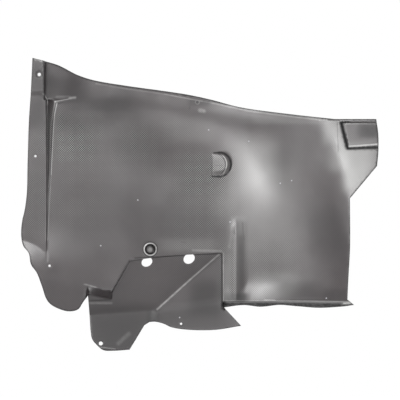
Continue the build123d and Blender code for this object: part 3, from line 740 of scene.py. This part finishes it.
def sheet_mesh(name, wall, front_step, back_step):
    """The whole moulded sheet: front face, back face and the rounded rims of its edge and holes."""
    edge = sheet_outline(EDGE_STEP)
    if area_of(edge) < 0:
        edge = edge[::-1]
    holes = [ring if area_of(ring) > 0 else ring[::-1] for ring in hole_rings()]
    inward = [shifted(edge, EDGE_SOFT).tolist()] + [shifted(ring, -HOLE_SOFT).tolist() for ring in holes]
    front, front_tris, front_loops = net(inward, 0.0, front_step)
    back, back_tris, back_loops = net(inward, wall, back_step)

    points = [np.stack([flat[:, 0], sheet_depth(flat[:, 0], flat[:, 1], inset), flat[:, 1]], axis=1)
              for flat, inset in ((front, 0.0), (back, wall))]
    faces = front_tris.tolist() + (back_tris[:, ::-1] + len(front)).tolist()
    face_count = total = len(front) + len(back)
    for number, ring in enumerate([edge] + holes):
        outer = number == 0
        rows = [np.array(front_loops[number])]
        for line in rim_lines(ring, 1.0 if outer else -1.0, EDGE_SOFT if outer else HOLE_SOFT, wall):
            points.append(line)
            rows.append(total + np.arange(len(ring)))
            total += len(ring)
        rows.append(np.array(back_loops[number]) + len(front))
        for a, b in zip(rows, rows[1:]):
            strip = np.stack([a, b, np.roll(b, -1), np.roll(a, -1)], axis=1)
            faces += (strip if outer else strip[:, ::-1]).tolist()
    points = np.vstack(points) * MM
    mesh = closed_mesh(name, points, faces)
    paint(mesh, points, len(front), face_count)
    return mesh


def patches(x, z, spots):
    """Strength of broad soft patches at each point."""
    left = np.ones(x.shape)
    for cx, cz, wide, high, strength in spots:
        left = left * (1.0 - strength * np.exp(-(((x - cx) / wide) ** 4 + ((z - cz) / high) ** 4)))
    return 1.0 - left


def crease_of(points, mesh):
    """How sharply the face bends at each point: above 0 where it stands proud, below 0 in a hollow."""
    count = len(points)
    normals = np.zeros(count * 3)
    mesh.vertices.foreach_get("normal", normals)
    normals = normals.reshape(-1, 3)
    ends = np.zeros(len(mesh.edges) * 2, np.int32)
    mesh.edges.foreach_get("vertices", ends)
    a, b = ends.reshape(-1, 2).T
    gap = points[b] - points[a]
    length = np.maximum(np.linalg.norm(gap, axis=1), 1e-6)
    bend = np.einsum("ij,ij->i", normals[b] - normals[a], gap) / length
    total, number = np.zeros(count), np.zeros(count)
    for end in (a, b):
        np.add.at(total, end, bend)
        np.add.at(number, end, 1.0)
    value = total / np.maximum(number, 1.0)
    for _ in range(2):
        mean, weight = np.zeros(count), np.zeros(count)
        for one, other in ((a, b), (b, a)):
            np.add.at(mean, one, value[other])
            np.add.at(weight, one, 1.0)
        value = 0.5 * value + 0.5 * mean / np.maximum(weight, 1.0)
    return np.clip(value, -1.0, 1.0)


class Tone:
    """A number on a shader socket, so that shader maths reads as ordinary expressions."""

    def __init__(self, tree, socket):
        self.tree, self.socket = tree, socket

    def math(self, operation, *others, clamp=False):
        """A Math node on this number and the others."""
        node = self.tree.nodes.new("ShaderNodeMath")
        node.operation = operation
        node.use_clamp = clamp
        for slot, value in zip(node.inputs, (self,) + others):
            if isinstance(value, Tone):
                self.tree.links.new(value.socket, slot)
            else:
                slot.default_value = float(value)
        return Tone(self.tree, node.outputs[0])

    def __add__(self, other):
        return self.math("ADD", other)

    def __sub__(self, other):
        return self.math("SUBTRACT", other)

    def __mul__(self, other):
        return self.math("MULTIPLY", other)

    def __truediv__(self, other):
        return self.math("DIVIDE", other)

    def __rsub__(self, other):
        return (self * -1.0) + other

    __radd__ = __add__
    __rmul__ = __mul__

    def lower(self, other):
        """The smaller of two numbers."""
        return self.math("MINIMUM", other)

    def higher(self, other):
        """The larger of two numbers."""
        return self.math("MAXIMUM", other)

    def folded(self):
        """The number folded to and fro between 0 and a half."""
        return self.math("PINGPONG", 0.5)

    def clip(self):
        """The number held between 0 and 1."""
        return self.math("ADD", 0.0, clamp=True)


def feed(tree, slot, value):
    """Link a tone or a socket to a slot, or set a plain value on it."""
    if isinstance(value, Tone):
        value = value.socket
    if isinstance(value, bpy.types.NodeSocket):
        tree.links.new(value, slot)
    else:
        slot.default_value = value


def add_node(tree, kind, settings=None, numbered=None, **named):
    """A node of a type, its settings made first, then its sockets by number or by name."""
    made = tree.nodes.new(kind)
    for key, value in (settings or {}).items():
        setattr(made, key, value)
    for key, value in (numbered or {}).items():
        feed(tree, made.inputs[key], value)
    for key, value in named.items():
        feed(tree, made.inputs[key.replace("_", " ")], value)
    return made


class Finish:
    """A material's node tree, with one call for every node."""

    def __init__(self, name):
        self.material = bpy.data.materials.new(name)
        self.material.use_nodes = True
        self.tree = self.material.node_tree
        self.tree.nodes.clear()
        self.place = self.node("ShaderNodeTexCoord").outputs["Object"]

    def node(self, kind, settings=None, numbered=None, **named):
        """A node of a type, with its settings and its sockets."""
        return add_node(self.tree, kind, settings, numbered, **named)

    def tone(self, socket):
        """A socket as a number to reckon with."""
        return Tone(self.tree, socket)

    def attribute(self, name):
        """A number that the mesh keeps on its points."""
        return self.tone(self.node("ShaderNodeAttribute", {"attribute_name": name}).outputs["Fac"])

    def noise(self, scale, detail=2.0, roughness=0.5, distortion=0.0):
        """Soft noise over the piece."""
        made = self.node("ShaderNodeTexNoise", Vector=self.place, Scale=scale, Detail=detail, Roughness=roughness,
                         Distortion=distortion)
        return self.tone(made.outputs["Fac"])

    def between(self, value, low, high, first=0.0, last=1.0):
        """A number eased from first to last while the value goes from low to high."""
        made = self.node("ShaderNodeMapRange", {"interpolation_type": "SMOOTHSTEP"}, Value=value, From_Min=low,
                         From_Max=high, To_Min=first, To_Max=last)
        return self.tone(made.outputs["Result"])

    def mix(self, factor, first, last):
        """Two colours mixed."""
        return self.node("ShaderNodeMix", {"data_type": "RGBA"}, {0: factor, 6: first, 7: last}).outputs[2]

    def finish(self, shader):
        """Put a shader on the surface."""
        self.node("ShaderNodeOutputMaterial", Surface=shader.outputs[0])
        return self.material


def opaque(colour):
    """A colour with nothing seen through it."""
    return (*colour, 1.0)


def liner_finish(settings):
    """Satin dark plastic with a fine diamond grain whose ridges are lighter, with painted highlights on its proud
    creases, beads and broad patches, and painted shade in its grooves, hollows and broad patches.
    """
    mat = Finish("liner_plastic")
    split = mat.node("ShaderNodeSeparateXYZ", Vector=mat.place)
    x, z = mat.tone(split.outputs["X"]), mat.tone(split.outputs["Z"])
    front, rim, crease = mat.attribute("front"), mat.attribute("rim"), mat.attribute("crease")
    bead, groove = mat.attribute("bead"), mat.attribute("groove")

    u, v = (x + z) / settings.grain_pitch, (x - z) / settings.grain_pitch
    ridge = mat.between(u.folded().lower(v.folded()), 0.10, 0.30)
    grained = mat.attribute("grained") * mat.between(mat.noise(14.0, 3.0), 0.30, 0.55, 0.35, 1.0)
    grained = (grained + settings.grain_least) * front * (1.0 - rim)
    fine = mat.noise(900.0, 3.0, 0.6)
    broad = mat.noise(22.0, 4.0, 0.55)
    cloudy = mat.noise(5.0, 5.0, 0.6, 0.3)
    patchiness = mat.between(mat.noise(160.0, 3.0), 0.25, 0.60, 0.60, 1.0)
    # Painted highlight on creases that stand proud, and painted shade in hollows
    rubbed = mat.between(crease, 0.04, 0.30) * 0.35
    hollow = mat.between(crease * -1.0, 0.05, 0.35) * 0.5

    colour = mat.mix(mat.between(cloudy, 0.35, 0.68), opaque(settings.plastic_dark), opaque(settings.plastic_light))
    # Painted highlight patches, lighter grain ridges, painted highlight on proud creases and on beads, then the
    # lighter cut edge
    for share, tone in ((mat.attribute("highlight_patch") * front, settings.highlight_tone),
                        (ridge * grained * settings.grain_rubbed, settings.grain_light),
                        (rubbed, settings.crease_highlight), (bead * patchiness, settings.bead_highlight),
                        (rim * 0.3, settings.rim_tone)):
        colour = mat.mix(share, colour, opaque(tone))

    rough = mat.between(broad, 0.3, 0.7, settings.roughness - 0.04, settings.roughness + 0.05)
    rough = rough + fine * 0.04 - rubbed * 0.10
    height = ridge * grained * settings.grain_height + fine * 0.000008 + broad * 0.00010
    bump = mat.node("ShaderNodeBump", Strength=1.0, Distance=1.0, Height=height).outputs["Normal"]
    satin = mat.node("ShaderNodeBsdfPrincipled", Base_Color=colour, Roughness=rough, Normal=bump,
                     Specular_IOR_Level=settings.gloss)
    # Dark dull finish: mixed in, it paints shade in grooves, hollows and shade patches, and it also dulls the grain's
    # valleys and the edge
    dull_shade_colour = mat.mix(fine, opaque(settings.dull_shade_dark), opaque(settings.dull_shade_light))
    dull = mat.node("ShaderNodeBsdfPrincipled", Base_Color=dull_shade_colour, Roughness=0.9, Normal=bump, Specular_IOR_Level=0.0)

    edge = mat.attribute("edge") * mat.between(mat.noise(60.0, 2.0), 0.3, 0.6, 0.5, 0.95) * front
    # Painted shade along the grooves, over the shade patches and in hollows, with the dull grain valleys and edge,
    # and none on the beads
    shade = (groove * mat.between(patchiness, 0.6, 1.0, 0.8, 1.0)).higher(mat.attribute("shade_patch")).higher(hollow)
    shade = shade.higher(edge).higher((1.0 - ridge) * grained * settings.grain_dull) * (1.0 - bead)
    return mat.finish(mat.node("ShaderNodeMixShader", None,
                               {0: shade.clip(), 1: satin.outputs[0], 2: dull.outputs[0]}))


def stage_finish():
    """Plain pale studio floor."""
    mat = Finish("studio_floor")
    colour = mat.mix(mat.noise(1.4, 2.0), (0.86, 0.86, 0.86, 1.0), (0.90, 0.90, 0.90, 1.0))
    return mat.finish(mat.node("ShaderNodeBsdfPrincipled", Base_Color=colour, Roughness=0.8))


class ArchLinerSettings(bpy.types.PropertyGroup):
    """Sizes and colours of the liner."""

    wall: FloatProperty(name="Wall", description="Thickness of the sheet in millimetres", default=3.0)
    front_step: FloatProperty(
        name="Front net", description="Spacing of the front face's net in millimetres", default=3.2)
    back_step: FloatProperty(
        name="Back net", description="Spacing of the back face's net in millimetres", default=4.4)
    pip_radius: FloatProperty(
        name="Pip radius", description="Radius of a moulding pip", default=0.0016, unit="LENGTH", precision=4)
    pip_flatness: FloatProperty(
        name="Pip flatness", description="Height of a moulding pip over its radius", default=0.55, subtype="FACTOR")
    grain_pitch: FloatProperty(
        name="Grain pitch", description="Pitch of the diamond grain", default=0.0044, unit="LENGTH", precision=5)
    grain_height: FloatProperty(
        name="Grain height", description="Height of the diamond grain", default=0.00006, unit="LENGTH", precision=6)
    grain_least: FloatProperty(
        name="Least grain", description="How strongly the faintest grain shows", default=0.12, subtype="FACTOR")
    grain_rubbed: FloatProperty(
        name="Rubbed grain", description="How light the grain's ridges are rubbed", default=0.62, subtype="FACTOR")
    grain_dull: FloatProperty(
        name="Dull grain", description="How dull the grain's valleys are", default=0.97, subtype="FACTOR")
    roughness: FloatProperty(
        name="Roughness", description="Roughness of the plastic", default=0.30, subtype="FACTOR")
    gloss: FloatProperty(
        name="Gloss", description="Specular level of the plastic", default=0.4, subtype="FACTOR")
    plastic_dark: FloatVectorProperty(
        name="Dark plastic", description="Darker tone of the plastic", default=(0.0115, 0.009, 0.0098),
        subtype="COLOR")
    plastic_light: FloatVectorProperty(
        name="Light plastic", description="Lighter tone of the plastic", default=(0.020, 0.0160, 0.0168),
        subtype="COLOR")
    # Painted highlight: tone of the highlight patches
    highlight_tone: FloatVectorProperty(
        name="Haze", description="Tone of the plastic where it is chalky with dust", default=(0.105, 0.104, 0.102),
        subtype="COLOR")
    grain_light: FloatVectorProperty(
        name="Grain ridges", description="Tone of the grain's ridges where rubbed", default=(0.165, 0.162, 0.158),
        subtype="COLOR")
    # Painted highlight on creases that stand proud
    crease_highlight: FloatVectorProperty(
        name="Creases", description="Tone of the creases that stand proud", default=(0.06, 0.06, 0.06),
        subtype="COLOR")
    # Painted highlight on the beads
    bead_highlight: FloatVectorProperty(
        name="Rubbed bead", description="Tone of the beads that are rubbed light", default=(0.20, 0.198, 0.195),
        subtype="COLOR")
    rim_tone: FloatVectorProperty(
        name="Cut edge", description="Tone of the cut edges", default=(0.05, 0.05, 0.05), subtype="COLOR")
    # Tones of the dull finish, which also paints shade
    dull_shade_dark: FloatVectorProperty(
        name="Dull dark", description="Darker tone of the dull plastic", default=(0.010, 0.010, 0.0105),
        subtype="COLOR")
    dull_shade_light: FloatVectorProperty(
        name="Dull light", description="Lighter tone of the dull plastic", default=(0.022, 0.022, 0.022),
        subtype="COLOR")


class StudioSettings(bpy.types.PropertyGroup):
    """Light and camera of the studio."""

    frame_width: FloatProperty(
        name="Frame width", description="Width that the camera takes in", default=0.8, unit="LENGTH")
    lens: FloatProperty(name="Lens", description="Focal length in millimetres", default=500.0)
    sensor: FloatProperty(name="Sensor", description="Width of the camera's sensor in millimetres", default=36.0)
    floor_height: FloatProperty(
        name="Floor height", description="Height of the studio floor", default=-0.75, unit="LENGTH")
    world_light: FloatProperty(
        name="World light", description="Strength of the even studio light", default=1.0)
    softbox_power: FloatProperty(
        name="Softbox power", description="Power of a softbox whose share is one", default=50.0, unit="POWER")


def place_piece(context, name, mesh):
    """Link a piece with its mesh, riding on the liner."""
    piece = bpy.data.objects.new(name, mesh)
    context.scene.collection.objects.link(piece)
    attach(piece, "root")
    return piece


class LINER_OT_sheet(bpy.types.Operator):
    """Build the moulded sheet"""

    bl_idname = "liner.sheet"
    bl_label = "Moulded sheet"

    def execute(self, context):
        settings = context.scene.arch_liner
        mesh = sheet_mesh("liner_sheet", settings.wall, settings.front_step, settings.back_step)
        mesh.materials.append(liner_finish(settings))
        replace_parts(place_piece(context, "liner_sheet", mesh), "arch_liner")
        return {"FINISHED"}


def pip_tree(material):
    """Geometry nodes that set a low domed pip on each point, facing along the face's normal."""
    tree = bpy.data.node_groups.new("moulding_pips", "GeometryNodeTree")
    tree.interface.new_socket("Geometry", in_out="INPUT", socket_type="NodeSocketGeometry")
    radius = tree.interface.new_socket("Pip radius", in_out="INPUT", socket_type="NodeSocketFloat")
    flatness = tree.interface.new_socket("Flatness", in_out="INPUT", socket_type="NodeSocketFloat")
    tree.interface.new_socket("Geometry", in_out="OUTPUT", socket_type="NodeSocketGeometry")

    start = add_node(tree, "NodeGroupInput").outputs
    dome = add_node(tree, "GeometryNodeMeshUVSphere", Segments=12, Rings=8, Radius=start["Pip radius"])
    squash = add_node(tree, "ShaderNodeCombineXYZ", X=1.0, Y=1.0, Z=start["Flatness"])
    low = add_node(tree, "GeometryNodeTransform", Geometry=dome.outputs["Mesh"], Scale=squash.outputs[0])
    facing = add_node(tree, "GeometryNodeInputNamedAttribute", {"data_type": "FLOAT_VECTOR"}, Name="facing")
    turn = add_node(tree, "FunctionNodeAlignRotationToVector", {"axis": "Z"}, Vector=facing.outputs["Attribute"])
    placed = add_node(tree, "GeometryNodeInstanceOnPoints", Points=start["Geometry"],
                      Instance=low.outputs["Geometry"], Rotation=turn.outputs[0])
    real = add_node(tree, "GeometryNodeRealizeInstances", Geometry=placed.outputs[0])
    coated = add_node(tree, "GeometryNodeSetMaterial", Geometry=real.outputs[0], Material=material)
    add_node(tree, "NodeGroupOutput", Geometry=coated.outputs[0])
    return tree, radius.identifier, flatness.identifier


def pip_places():
    """Points of the pips on the face, each with the way that the face looks there."""
    x, z = np.array(PIPS).T
    y = sheet_depth(x, z, 0.0)
    along = sheet_depth(x + 0.5, z, 0.0) - sheet_depth(x - 0.5, z, 0.0)
    up = sheet_depth(x, z + 0.5, 0.0) - sheet_depth(x, z - 0.5, 0.0)
    facing = np.stack([along, -np.ones(len(x)), up], axis=1)
    facing /= np.linalg.norm(facing, axis=1, keepdims=True)
    mesh = bpy.data.meshes.new("pip_places")
    mesh.from_pydata((np.stack([x, y, z], axis=1) * MM).tolist(), [], [])
    mesh.attributes.new("facing", "FLOAT_VECTOR", "POINT").data.foreach_set("vector", facing.ravel())
    return bpy.data.objects.new("pip_places", mesh)


class LINER_OT_pips(bpy.types.Operator):
    """Set the small moulding pips on the face"""

    bl_idname = "liner.pips"
    bl_label = "Moulding pips"

    def execute(self, context):
        settings = context.scene.arch_liner
        places = pip_places()
        context.scene.collection.objects.link(places)
        tree, radius, flatness = pip_tree(bpy.data.materials["liner_plastic"])
        modifier = places.modifiers.new("pips", "NODES")
        modifier.node_group = tree
        modifier[radius] = settings.pip_radius
        modifier[flatness] = settings.pip_flatness
        shape = places.evaluated_get(context.evaluated_depsgraph_get())
        mesh = bpy.data.meshes.new_from_object(shape)
        bpy.data.objects.remove(places)
        if not mesh.polygons:
            raise RuntimeError("the moulding pips came out empty")
        mesh.polygons.foreach_set("use_smooth", [True] * len(mesh.polygons))
        place_piece(context, "moulding_pips", mesh)
        return {"FINISHED"}


class LINER_OT_stage(bpy.types.Operator):
    """Set the floor, the soft lights and the camera"""

    bl_idname = "liner.stage"
    bl_label = "Studio"

    def execute(self, context):
        scene, studio = context.scene, context.scene.liner_studio
        scene.view_settings.view_transform = "Standard"
        mesh = bpy.data.meshes.new("studio_floor")
        corners = ((-1, -1), (1, -1), (1, 1), (-1, 1))
        mesh.from_pydata([(i * FLOOR_HALF, j * FLOOR_HALF, studio.floor_height) for i, j in corners], [],
                         [(0, 1, 2, 3)])
        mesh.materials.append(stage_finish())
        floor = bpy.data.objects.new("studio_floor", mesh)
        scene.collection.objects.link(floor)

        world = bpy.data.worlds.new("studio_world")
        world.use_nodes = True
        sky = world.node_tree.nodes["Background"]
        sky.inputs["Color"].default_value = (1.0, 1.0, 1.0, 1.0)
        sky.inputs["Strength"].default_value = studio.world_light
        scene.world = world
        for name, turn, rise, width, share in SOFTBOXES:
            soft_light(name, turn, rise, width, share * studio.softbox_power)

        camera = bpy.data.cameras.new("camera")
        camera.lens, camera.sensor_width, camera.clip_end = studio.lens, studio.sensor, 100.0
        view = bpy.data.objects.new("camera", camera)
        away = studio.frame_width * studio.lens / studio.sensor
        view.location = (LOOK_AT[0], LOOK_AT[1] - away, LOOK_AT[2])
        view.rotation_euler = (math.pi / 2.0, 0.0, 0.0)
        scene.collection.objects.link(view)
        scene.camera = view
        return {"FINISHED"}


def soft_light(name, turn, rise, width, power):
    """A square softbox that faces the liner, at a turn from the camera's side and a rise above the level."""
    turn, rise = math.radians(turn), math.radians(rise)
    away = Vector((math.sin(turn) * math.cos(rise), -math.cos(turn) * math.cos(rise), math.sin(rise)))
    light = bpy.data.lights.new(name, "AREA")
    light.shape, light.size, light.energy = "SQUARE", width, power
    lamp = bpy.data.objects.new(name, light)
    lamp.location = Vector(LOOK_AT) + away * SOFTBOX_AWAY
    lamp.rotation_euler = (-away).to_track_quat("-Z", "Y").to_euler()
    bpy.context.scene.collection.objects.link(lamp)


class LINER_PT_panel(bpy.types.Panel):
    """Panel that lists the liner's pieces."""

    bl_idname = "LINER_PT_panel"
    bl_label = "Arch liner"
    bl_space_type = "VIEW_3D"
    bl_region_type = "UI"
    bl_category = "Arch liner"

    def draw(self, context):
        for operator in OPERATORS:
            self.layout.operator(operator.bl_idname)


OPERATORS = (LINER_OT_sheet, LINER_OT_pips, LINER_OT_stage)
CLASSES = (ArchLinerSettings, StudioSettings) + OPERATORS + (LINER_PT_panel,)


def register():
    for cls in CLASSES:
        bpy.utils.register_class(cls)
    bpy.types.Scene.arch_liner = PointerProperty(type=ArchLinerSettings)
    bpy.types.Scene.liner_studio = PointerProperty(type=StudioSettings)


def unregister():
    del bpy.types.Scene.liner_studio
    del bpy.types.Scene.arch_liner
    for cls in reversed(CLASSES):
        bpy.utils.unregister_class(cls)


def main():
    """Build every piece in order."""
    register()
    bpy.ops.liner.sheet()
    bpy.ops.liner.pips()
    bpy.ops.liner.stage()


if __name__ == "__main__":
    main()
